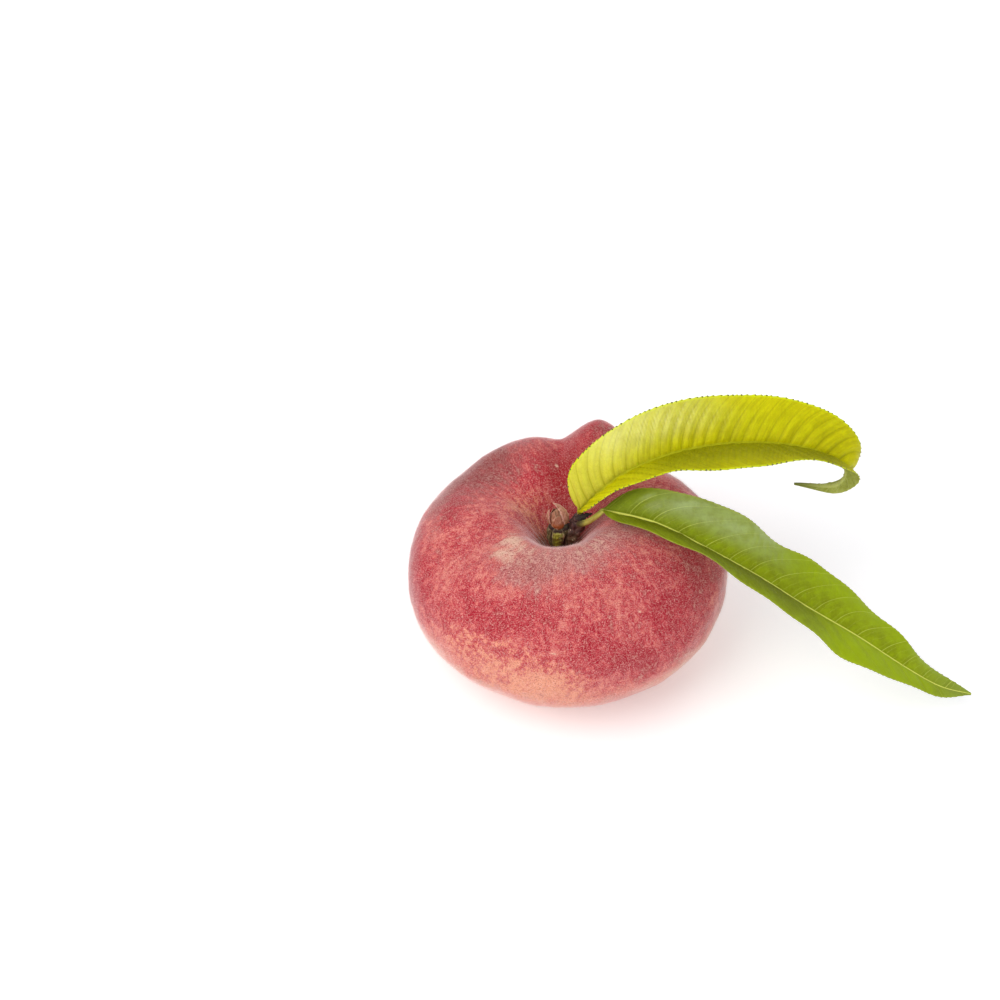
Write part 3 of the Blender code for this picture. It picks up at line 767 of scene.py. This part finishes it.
def leafFinish(name, look):
    leaf = Finish(name, **{"Subsurface Weight": look["glow"], "Subsurface Radius": (0.6, 0.9, 0.1),
                           "Subsurface Scale": 0.0006, "Specular IOR Level": look["gloss"], "IOR": 1.45,
                           "Coat Roughness": look["coatRough"], "Coat IOR": 1.8})
    side, phase, fromRib = (leaf.attribute(n) for n in ("upperSide", "veinPhase", "fromRib"))
    along, across = leaf.attribute("alongBlade"), leaf.attribute("acrossBlade")
    cloud = leaf.noise(0.14, 3, 0.55)
    patch = leaf.noise(0.5, 3, 0.6)
    fine = leaf.noise(2.2, 3, 0.65)
    far = leaf.step(across, -0.02, 0.02)
    veinWidth, ribWidth = look["veinWidth"], look["ribWidth"]
    toVein = abs(phase.do("FRACT") - 0.5)           # 0.5 on a vein, 0 midway
    vein = leaf.step(toVein + (patch - 0.5) * veinWidth * 0.5, 0.5 - veinWidth, 0.5)
    toSecond = abs((phase * 3.0 + 0.5 + (patch - 0.5) * 0.8).do("FRACT") - 0.5)
    second = leaf.step(toSecond, 0.5 - veinWidth * 2.0, 0.5) * (1.0 - leaf.step(fromRib, 2.5, 6.0)) * 0.4
    course = leaf.node("ShaderNodeCombineXYZ", None,
                       {0: phase * look["streakScale"], 1: fromRib * 0.16, 2: far * 9.0})
    streak = leaf.noise(1.0, 3, 0.6, at=course.outputs[0])
    rib = 1.0 - leaf.step(fromRib + along * ribWidth * 0.4, ribWidth * 0.5, ribWidth)
    netLine = (1.0 - leaf.step(leaf.fromCellEdge(1.1), 0.0, 0.10)) * 0.55
    netLine = netLine + (1.0 - leaf.step(leaf.fromCellEdge(2.8), 0.0, 0.12)) * 0.45
    nearGlow = (1.0 - far) * leaf.band(along, 0.42, 0.60, 0.78, 0.92)
    # painted shade: the near half darkens beside the midrib where the blade folds
    fold = 1.0 - leaf.step(fromRib, look["foldReach"] * 0.1, look["foldReach"])
    fold = fold * (1.0 - far * look["foldFar"]) * leaf.band(along, *look["foldSpan"])
    # painted shade beside the sunken veins, strongest near the midrib
    valleyShade = leaf.step(toVein, 0.30, 0.5) * (1.0 - leaf.step(fromRib, 1.5, 8.5))
    # painted highlight: a whitish patch on the far half near the foot, beside the real coat gloss
    paintedHighlight = leaf.band(along, 0.07, 0.17, 0.26, 0.46) * leaf.step(across, 0.15, 0.75)
    paintedHighlight = paintedHighlight * (leaf.step(patch, 0.25, 0.65) * 0.6 + 0.4)
    farOut = leaf.step(across, 0.2, 0.9) * leaf.step(along, 0.2, 0.5)
    upperCoats = (
        (leaf.step(patch, 0.35, 0.75) * 0.6, "bright"),
        (leaf.step(streak, 0.50, 0.62) * look["swell"], "bright"),
        (leaf.step(streak, 0.48, 0.34) * look["swell"], look["trough"]),
        (farOut * look["farBright"], "bright"),
        # young leaf: a painted pale highlight at the foot of the far half; mature leaf: darker green there
        ((1.0 - leaf.step(along, 0.0, 0.3)) * far * look["paleBase"], "base"),
        (leaf.step(along, 0.72, 1.0) * look["tipShare"], "tip"),
        (nearGlow * look["nearBright"], "bright"),
        (fold * look["fold"], "foldShade"),
        (valleyShade * look["valleyShade"], "dark"),
        (netLine * look["netShare"], "net"),
        (vein.do("MAXIMUM", second) * look["veinShare"] * (0.4 + far * 0.6), "vein"),
        (paintedHighlight * look["paintedHighlight"], "highlightTone"),
        (leaf.step(abs(across), 0.94, 1.0) * look["edgeShare"], "edge"),
        (rib * look["ribShare"], "rib"))
    lowerCoats = (
        (netLine * 0.45, "underNet"),
        (leaf.step(toVein, 0.44, 0.5) * 0.6, "underVein"),
        (rib * 0.85, "underVein"),
        (leaf.step(along, 0.90, 1.0) * 0.8, "underTip"))
    upper = leaf.mix(leaf.step(cloud, 0.35, 0.65), look["shadow"], look["light"])
    upper = leaf.coats(upper, *((share, look[tone]) for share, tone in upperCoats))
    lower = leaf.mix(leaf.step(patch, 0.3, 0.7), look["underDark"], look["underLight"])
    lower = leaf.coats(lower, *((share, look[tone]) for share, tone in lowerCoats))
    petiole = leaf.mix(leaf.step(patch, 0.35, 0.65), look["petioleDark"], look["petiole"])
    petiole = leaf.mix(leaf.step(along + patch * 0.02, -0.036, -0.018), look["foot"], petiole)
    colour = leaf.coats(
        lower,
        (side, upper),
        (leaf.step(fine, 0.55, 0.8) * 0.2, look["dark"]),
        (1.0 - leaf.step(along, -0.012, 0.006), petiole))
    rough = look["rough"] + fine * 0.14 + (1.0 - side) * 0.25 + cloud * 0.06
    relief = leaf.bump(netLine * -0.5 + fine * 0.5, 0.00006, 0.8)
    shine = leaf.band(along, 0.05, 0.16, 0.28, 0.50) * leaf.step(across, 0.1, 0.7) * look["shine"] * side
    return leaf.set(colour=colour, roughness=rough, normal=relief, coat=shine)


# In both looks the fold entries set painted shade along the midrib, the entries beside the sunken veins set
# painted shade, and the whitish patch near the foot is a painted highlight.
youngLook = dict(
    glow=0.15, gloss=0.08, rough=0.34, coatRough=0.35, shine=0.35, beads=0.18,
    veinWidth=0.08, ribWidth=0.42, streakScale=4.0, swell=0.42, trough="vein", valleyShade=0.38,
    fold=0.85, foldFar=0.88, foldReach=16.0, foldSpan=(0.08, 0.30, 0.64, 0.80), foldShade=(0.15, 0.155, 0.001),
    shadow=(0.47, 0.44, 0.001), light=(0.57, 0.52, 0.002), dark=(0.29, 0.275, 0.001),
    bright=(0.68, 0.66, 0.003), nearBright=0.0, farBright=0.15, paintedHighlight=0.25, highlightTone=(0.70, 0.70, 0.25),
    # base with paleBase: a painted pale highlight at the foot of the far half
    base=(0.74, 0.70, 0.10), paleBase=0.6, tip=(0.44, 0.49, 0.004), tipShare=0.5,
    net=(0.46, 0.42, 0.002), netShare=0.35, vein=(0.34, 0.31, 0.002), veinShare=0.4,
    edge=(0.66, 0.74, 0.01), edgeShare=0.8, rib=(0.42, 0.44, 0.01), ribShare=0.5,
    underDark=(0.26, 0.28, 0.04), underLight=(0.36, 0.38, 0.08), underNet=(0.44, 0.46, 0.16),
    underVein=(0.50, 0.52, 0.16), underTip=(0.09, 0.10, 0.02),
    foot=(0.10, 0.08, 0.03), petiole=(0.62, 0.56, 0.08), petioleDark=(0.45, 0.38, 0.04))

matureLook = dict(
    glow=0.1, gloss=0.08, rough=0.34, coatRough=0.30, shine=1.0, beads=0.09,
    veinWidth=0.02, ribWidth=0.20, streakScale=5.0, swell=0.18, trough="dark", valleyShade=0.25,
    fold=0.9, foldFar=0.8, foldReach=10.0, foldSpan=(0.0, 0.1, 0.40, 0.62), foldShade=(0.11, 0.125, 0.001),
    shadow=(0.205, 0.25, 0.002), light=(0.235, 0.29, 0.003), dark=(0.145, 0.165, 0.002),
    bright=(0.33, 0.445, 0.004), nearBright=0.65, farBright=0.6, paintedHighlight=0.5, highlightTone=(0.42, 0.52, 0.22),
    # base with paleBase: darker green at the foot of the far half
    base=(0.15, 0.20, 0.02), paleBase=0.6, tip=(0.22, 0.28, 0.05), tipShare=0.8,
    net=(0.34, 0.40, 0.02), netShare=0.3, vein=(0.62, 0.70, 0.12), veinShare=0.7,
    edge=(0.42, 0.46, 0.02), edgeShare=0.5, rib=(0.74, 0.76, 0.15), ribShare=0.95,
    underDark=(0.20, 0.27, 0.07), underLight=(0.27, 0.34, 0.11), underNet=(0.34, 0.40, 0.17),
    underVein=(0.44, 0.50, 0.22), underTip=(0.20, 0.26, 0.07),
    foot=(0.10, 0.075, 0.03), petiole=(0.52, 0.50, 0.09), petioleDark=(0.38, 0.27, 0.06))


def tipTree():      # a small gland bead on each given point
    web, given = startTree("toothTips", ("Bead size",))
    dots = web.node("GeometryNodeMeshToPoints", None, {"Mesh": given["Geometry"]})
    bead = web.node("GeometryNodeMeshIcoSphere", None, {"Radius": given["Bead size"], "Subdivisions": 1})
    return endTree(web, given, dots.outputs[0], bead.outputs["Mesh"], 0.6, 1.3)


def makeLeaves():
    gland = Finish("toothGland", **{"Base Color": (0.13, 0.12, 0.015), "Roughness": 0.5}).material
    beads = tipTree()
    for node, slot, form, look in (("upper_leaf", "young_leaf", upperForm, youngLook),
                                   ("lower_leaf", "mature_leaf", lowerForm, matureLook)):
        name = node + "_blade"
        leaf, tips = makeBlade(name, form, leafFinish(slot + "_finish", look))
        place(leaf, slot, node)
        dots = bpy.data.meshes.new(name + "_tips")
        dots.from_pydata((tips * mm).tolist(), [], [])
        settings = {"Bead size": look["beads"] * mm, "Seed": form["seed"], "Finish": gland}
        piece = applyTree(dots, beads, node + "_tooth_tips", settings)
        place(piece, slot)


makeLeaves()

stalkForm = dict(
    core=[(0, 0.5, 26.7, 1.4), (0, 0.5, 28.0, 1.9), (-0.05, 0.5, 30.0, 2.3), (-0.1, 0.5, 32.0, 2.5),
          (-0.1, 0.5, 33.6, 2.4), (-0.15, 0.5, 34.9, 1.7)],
    around=120, rings=110, ridges=(7, 0.06), fibres=0.07,
    patch=(-101, 19), gap=(-139, 6), hollow=(-52, 22, 30.8, 1.9))

spurForm = dict(
    core=[(1.7, 0.5, 28.6, 0.9), (2.3, 0.4, 30.6, 1.5), (3.1, 0.35, 32.5, 1.75), (3.9, 0.4, 34.6, 1.85),
          (4.25, 0.5, 36.4, 1.6), (4.35, 0.6, 37.7, 0.9)],
    around=96, rings=90, ridges=(6, 0.08))

budForm = dict(
    core=[(-0.35, 0.4, 34.6, 1.25), (-0.4, 0.4, 36.0, 1.46), (-0.5, 0.4, 37.4, 1.34), (-0.6, 0.4, 38.8, 0.92),
          (-0.65, 0.4, 39.9, 0.3)],
    scales=(     # facing, half width in degrees, bottom, top, how far it stands off
        (-125, 75, 34.9, 37.6, 0.10), (-35, 80, 34.8, 37.9, 0.16), (70, 80, 35.0, 38.2, 0.10),
        (165, 70, 34.9, 38.3, 0.16), (-80, 62, 35.6, 39.3, 0.26), (20, 60, 35.6, 39.0, 0.24),
        (130, 60, 35.6, 39.4, 0.24), (-140, 48, 36.3, 40.2, 0.22), (-20, 44, 36.4, 40.0, 0.22),
        (80, 48, 36.4, 40.3, 0.22)),
    rows=26, columns=15, thickness=0.09, heartRows=40, heartAround=48, heartShare=0.94)

sheathForms = dict(     # thin pieces: middle line with half width, facing, cup, raggedness
    claw_scale=dict(line=[(1.75, -0.5, 36.6, 0.85), (1.45, -0.6, 38.6, 0.98), (0.7, -0.4, 40.5, 0.75),
                          (-0.4, 0.0, 41.7, 0.42), (-1.6, 0.3, 42.5, 0.05)],
                    facing=(0.7, -0.7, 0.1), cup=0.45, ragged=0.05, seed=1),
    left_scale=dict(line=[(-2.45, -0.2, 36.2, 0.72), (-2.75, -0.2, 38.0, 0.78), (-2.7, -0.1, 39.2, 0.5),
                          (-2.3, 0.1, 40.4, 0.05)], facing=(-0.9, -0.4, 0.1), cup=0.4, ragged=0.05, seed=2),
    bract=dict(line=[(3.4, -0.4, 38.0, 0.45), (4.9, -0.3, 38.4, 0.62), (5.9, -0.1, 38.7, 0.5),
                     (7.2, 0.1, 39.0, 0.06)], facing=(0.0, -0.5, 0.86), cup=-0.35, ragged=0.22, seed=3))

sheathGrid = dict(rows=60, columns=17, thickness=0.16)

barkTones = dict(
    dark=(0.075, 0.055, 0.022), pale=(0.27, 0.22, 0.10), moss=(0.13, 0.15, 0.05), greenDark=(0.20, 0.21, 0.02),
    green=(0.40, 0.40, 0.045), fibre=(0.56, 0.45, 0.30), lip=(0.55, 0.56, 0.10), gap=(0.034, 0.014, 0.016),
    strand=(0.52, 0.42, 0.24))

spurTones = dict(
    dark=(0.030, 0.012, 0.012), brown=(0.115, 0.052, 0.045), foot=(0.15, 0.11, 0.055), ring=(0.20, 0.12, 0.07),
    fibre=(0.48, 0.36, 0.26))


def woodPoints(form, relief):       # rings about a core; relief(angle, place, share) in mm stands out of it
    share = np.linspace(0, 1, form["rings"])
    core = curveThrough(form["core"], share)
    angle = np.arange(form["around"]) * 2 * math.pi / form["around"]
    s, a = np.meshgrid(share, angle, indexing="ij")
    count, depth = form["ridges"]
    rounding = np.sqrt(1 - np.clip((0.05 - np.minimum(s, 1 - s)) / 0.05, 0, 0.97) ** 2)
    radius = core[:, None, 3] * (1 + depth * np.cos(count * a + 2.5 * s)) * rounding
    spot = core[:, None, :3] + np.stack([radius * np.cos(a), radius * np.sin(a), np.zeros_like(a)], -1)
    radius = radius + relief(np.degrees(a), spot, s)
    spot = core[:, None, :3] + np.stack([radius * np.cos(a), radius * np.sin(a), np.zeros_like(a)], -1)
    return spot, np.degrees(a), s


def nearAngle(a, middle, width):
    return bell((a - middle + 180) % 360 - 180, width)


def barkFinish():
    bark = Finish("greenBark", **{"Specular IOR Level": 0.3})
    tones = barkTones
    patch, gap, lip, strand = (bark.attribute(n) for n in ("greenPatch", "darkGap", "paleLip", "paleStrand"))
    fibre = bark.noise(1.0, 4, 0.7, at=bark.stretched((3.2, 3.2, 0.45)))
    spot = bark.noise(1.4, 3, 0.6)
    colour = bark.coats(
        tones["dark"],
        (bark.step(fibre, 0.38, 0.64), tones["pale"]),
        (bark.step(spot, 0.45, 0.7) * 0.6, tones["moss"]),
        (patch, bark.mix(bark.step(fibre, 0.35, 0.6), tones["greenDark"], tones["green"])),
        (bark.step(fibre, 0.60, 0.72) * (1.0 - patch * 0.7) * 0.8, tones["fibre"]),
        (lip, tones["lip"]),
        # painted shade: near black in the carved gap and hollow; the collar ring is dark bark
        (gap, tones["gap"]),
        (strand * 0.85, tones["strand"]))
    relief = bark.bump(fibre + spot * 0.5, 0.00018, 0.9)
    return bark.set(colour=colour, roughness=0.55 + fibre * 0.3, normal=relief)


def darkBarkFinish():
    dark = Finish("darkBark", **{"Specular IOR Level": 0.35})
    tones = spurTones
    fibre = dark.noise(1.6, 4, 0.65)
    rings = dark.noise(1.0, 3, 0.6, at=dark.stretched((0.6, 0.6, 3.0)))
    colour = dark.coats(
        tones["dark"],
        (dark.step(fibre, 0.35, 0.65), tones["brown"]),
        ((1.0 - dark.step(dark.height(), 31.5, 35.0)) * 0.8, tones["foot"]),
        (dark.step(rings, 0.52, 0.66) * 0.6, tones["ring"]),
        (dark.step(fibre, 0.66, 0.74) * 0.8, tones["fibre"]))
    relief = dark.bump(fibre + rings * 0.6, 0.0002, 0.9)
    return dark.set(colour=colour, roughness=0.5 + fibre * 0.3, normal=relief)


def makeStalk():
    patchAngle, patchWidth = stalkForm["patch"]
    gapAngle, gapWidth = stalkForm["gap"]
    hollowAngle, hollowWidth, hollowHeight, hollowTall = stalkForm["hollow"]

    def parts(a, spot):
        z = spot[..., 2]
        gap = nearAngle(a, gapAngle, gapWidth) * bell(z - 32.6, 2.2)
        hollow = nearAngle(a, hollowAngle, hollowWidth) * bell(z - hollowHeight, hollowTall)
        lip = nearAngle(a, patchAngle, patchWidth * 1.2) * bell(z - 34.0, 0.22)
        collar = bell(z - 34.55, 0.28)
        return gap, hollow, lip, collar

    def relief(a, spot, s):
        gap, hollow, lip, collar = parts(a, spot)
        radians = np.radians(a)
        z = spot[..., 2]
        fibres = np.sin(31 * radians + 1.5 * np.sin(z * 0.9)) + 0.6 * np.sin(53 * radians + z)
        rough = 0.09 * ripple(spot, 1.6, 21) + 0.05 * ripple(spot, 0.6, 22)
        return stalkForm["fibres"] * fibres + rough - 0.6 * gap - 0.55 * hollow + 0.22 * lip + 0.12 * collar

    spot, a, s = woodPoints(stalkForm, relief)
    gap, hollow, lip, collar = parts(a, spot)
    z = spot[..., 2]
    patch = nearAngle(a, patchAngle, patchWidth) ** 0.6 * np.clip((34.3 - z) / 0.3, 0, 1)
    values = {"greenPatch": np.clip(patch, 0, 1), "paleLip": np.clip(lip, 0, 1),
              # painted shade in the carved gap and hollow, and the dark collar ring of the bark
              "darkGap": np.clip(gap * 1.3 + hollow * 1.2 + collar, 0, 1),
              "paleStrand": (nearAngle(a, -126, 3.5) + nearAngle(a, -66, 3)) * bell(z - 33.0, 1.6)}
    stalk = facingOut(newMesh("stalk_wood", spot, ringFaces(*a.shape), barkFinish(), values))
    place(stalk, "green_bark", "stalk")
    addLenticels(stalk, "stalk_lenticels", "green_bark", 46, 5)


def makeSpur():
    def knobs(a, spot, s):
        rings = 0.16 * np.sin(s * 2 * math.pi * 4.5 + 0.8 * np.sin(np.radians(a)))
        return rings + 0.16 * ripple(spot, 1.5, 31) + 0.06 * ripple(spot, 0.6, 32)

    finish = darkBarkFinish()
    spot, a, _ = woodPoints(spurForm, knobs)
    spur = facingOut(newMesh("spur_wood", spot, ringFaces(*a.shape), finish))
    place(spur, "dark_bark", "spur")
    addLenticels(spur, "spur_lenticels", "dark_bark", 34, 6)


def lenticelTree():     # little pale corky blisters scattered over a surface
    web, given = startTree("lenticels", ("Per area", "Blister size"))
    scatter = scatterOver(web, given, given["Per area"])
    blister = web.node("GeometryNodeMeshIcoSphere", None, {"Radius": given["Blister size"], "Subdivisions": 2})
    flat = web.node("GeometryNodeTransform", None,
                    {"Geometry": blister.outputs["Mesh"], "Scale": (1.0, 1.7, 0.5)})
    return endTree(web, given, scatter["Points"], flat.outputs["Geometry"], 0.5, 1.3, scatter["Normal"])


def addLenticels(wood, name, slot, count, seed):
    area = sum(p.area for p in wood.data.polygons)
    settings = {"Per area": count / area, "Blister size": 0.10 * mm, "Seed": seed, "Finish": corkFinish}
    piece = applyTree(wood.data.copy(), blisters, name, settings)
    place(piece, slot)
    print(name, len(piece.data.polygons), "faces")


def shellOf(name, grid, thickness, material, values):       # a closed thin sheet under a grid of points
    rows, columns = grid.shape[:2]
    outward = unit(np.cross(np.gradient(grid, axis=0), np.gradient(grid, axis=1)))
    edge = np.minimum(1, 4 * np.minimum(np.linspace(0, 1, columns), np.linspace(1, 0, columns)) + 0.3)
    low = grid - outward * thickness * edge[None, :, None]
    points = np.concatenate([grid, low])
    k = np.arange(rows * columns).reshape(rows, columns)
    quads = np.stack([k[:-1, :-1], k[:-1, 1:], k[1:, 1:], k[1:, :-1]], -1).reshape(-1, 4)
    border = np.concatenate([k[0, :], k[1:, -1], k[-1, -2::-1], k[-2:0:-1, 0]])
    total = rows * columns
    faces = quads.tolist() + (quads[:, ::-1] + total).tolist()
    for first, second in zip(border, np.roll(border, -1)):
        faces.append([int(second), int(first), int(first) + total, int(second) + total])
    both = {key: np.concatenate([data.ravel(), data.ravel()]) for key, data in values.items()}
    return facingOut(newMesh(name, points, faces, material, both))


def paperFinish(name, tones, fibreScale=(3.0, 3.0, 0.7)):
    paper = Finish(name, **{"Specular IOR Level": 0.3, "Subsurface Weight": 0.1,
                            "Subsurface Radius": (1.0, 0.5, 0.3), "Subsurface Scale": 0.0003})
    up, across = paper.attribute("upScale"), paper.attribute("acrossScale")
    fibre = paper.noise(1.3, 4, 0.65, at=paper.stretched(fibreScale))
    spot = paper.noise(2.0, 3, 0.6)
    layers = [(paper.step(fibre, 0.35, 0.65), "body"), (paper.step(spot, 0.5, 0.7) * 0.5, "dark"),
              ((1.0 - paper.step(up, 0.0, 0.3)) * 0.9, "base")]
    if "band" in tones:
        layers.append(((1.0 - paper.step(paper.height(), 35.9, 37.3)) * 0.85, "band"))
    layers += [(paper.step(abs(across), 0.62, 0.95) * 0.75, "edge"), (paper.step(up, 0.75, 1.0) * 0.7, "tip")]
    colour = paper.coats(tones["dark"], *((share, tones[tone]) for share, tone in layers))
    return paper.set(colour=colour, roughness=0.5 + spot * 0.3, normal=paper.bump(fibre, 0.00012, 0.8))


budTones = dict(body=(0.56, 0.29, 0.19), dark=(0.30, 0.11, 0.06), base=(0.36, 0.10, 0.03),
                band=(0.46, 0.15, 0.035), edge=(0.70, 0.44, 0.30), tip=(0.36, 0.19, 0.10))
hornTones = dict(budTones, body=(0.66, 0.36, 0.25), edge=(0.78, 0.50, 0.38), tip=(0.74, 0.46, 0.36),
                 base=(0.30, 0.20, 0.09))
bractTones = dict(body=(0.035, 0.022, 0.014), dark=(0.010, 0.006, 0.005), base=(0.05, 0.03, 0.02),
                  edge=(0.016, 0.010, 0.008), tip=(0.03, 0.018, 0.012))


def makeBud():
    paper = paperFinish("dryScale", budTones)
    form = budForm
    core = np.array(form["core"], float)
    rows, around = form["heartRows"], form["heartAround"]
    height = np.linspace(core[0, 2], core[-1, 2], rows)[:, None]
    x, y, radius = (np.interp(height, core[:, 2], core[:, i]) for i in (0, 1, 3))
    angle = np.arange(around) * 2 * math.pi / around
    radius = form["heartShare"] * radius
    rings = np.stack([x + radius * np.cos(angle), y + radius * np.sin(angle),
                      np.broadcast_to(height, (rows, around))], -1)
    share = np.broadcast_to(np.linspace(0, 1, rows)[:, None], (rows, around))
    heart = newMesh("bud_heart", rings, ringFaces(rows, around), paper,
                    {"upScale": share, "acrossScale": np.zeros((rows, around))})
    place(facingOut(heart), "dry_scale", "bud")

    for i, (facing, halfWidth, bottom, top, off) in enumerate(form["scales"]):
        v, u = np.meshgrid(np.linspace(0, 1, form["rows"]), np.linspace(-1, 1, form["columns"]), indexing="ij")
        z = bottom + (top - bottom) * v * (1 - 0.10 * u * u * (1 - v))
        x, y, radius = (np.interp(z, core[:, 2], core[:, k]) for k in (0, 1, 3))
        half = math.radians(halfWidth) * np.maximum(1 - v ** 2.6, 0.002) ** 0.65
        a = math.radians(facing) + u * half + 0.10 * np.sin(3.0 * v + i)
        radius = radius + off + 0.22 * v ** 4 - 0.12 * (1 - v) ** 4
        radius = radius + 0.05 * np.abs(u) ** 3 * np.sin(7 * v + 2 * i)
        grid = np.stack([x + radius * np.cos(a), y + radius * np.sin(a), z], -1)
        grid = grid + 0.03 * ripple(grid, 0.9, 40 + i)[..., None]
        scale = shellOf("bud_scale_%02d" % i, grid, form["thickness"], paper, {"upScale": v, "acrossScale": u})
        place(scale, "dry_scale")


def makeSheaths():
    bract = paperFinish("witheredBract", bractTones, (0.8, 3.0, 3.0))
    horn = paperFinish("hornScale", hornTones)
    rows, columns = np.linspace(0, 1, sheathGrid["rows"]), np.linspace(-1, 1, sheathGrid["columns"])
    for name, sheath in sheathForms.items():
        v, u = np.meshgrid(rows, columns, indexing="ij")
        line = curveThrough(sheath["line"], v[:, 0])
        ahead = unit(np.gradient(line[:, :3], axis=0))
        facing = np.array(sheath["facing"])
        facing = unit(facing - (ahead @ facing)[:, None] * ahead)
        sideways = np.cross(facing, ahead)
        tear = 1 + sheath["ragged"] * (np.sin(26 * v + 3 * sheath["seed"]) + np.sin(41 * v + 1.0) * np.sign(u))
        width = line[:, None, 3] * u * tear
        drop = sheath["cup"] * line[:, None, 3] * (u * u - 0.3)
        grid = line[:, None, :3] + width[..., None] * sideways[:, None] - drop[..., None] * facing[:, None]
        grid = grid + (0.04 * ripple(grid, 0.8, 60 + sheath["seed"]))[..., None] * facing[:, None]
        finish, slot = (bract, "withered_bract") if name == "bract" else (horn, "dry_scale")
        made = shellOf(name + "_blade", grid, sheathGrid["thickness"], finish, {"upScale": v, "acrossScale": u})
        place(made, slot, name)


corkFinish = Finish("corkSpots", **{"Base Color": (0.46, 0.36, 0.25), "Roughness": 0.8}).material
blisters = lenticelTree()
makeStalk()
makeSpur()
makeBud()
makeSheaths()
print("stalk, spur, bud and scales ready")
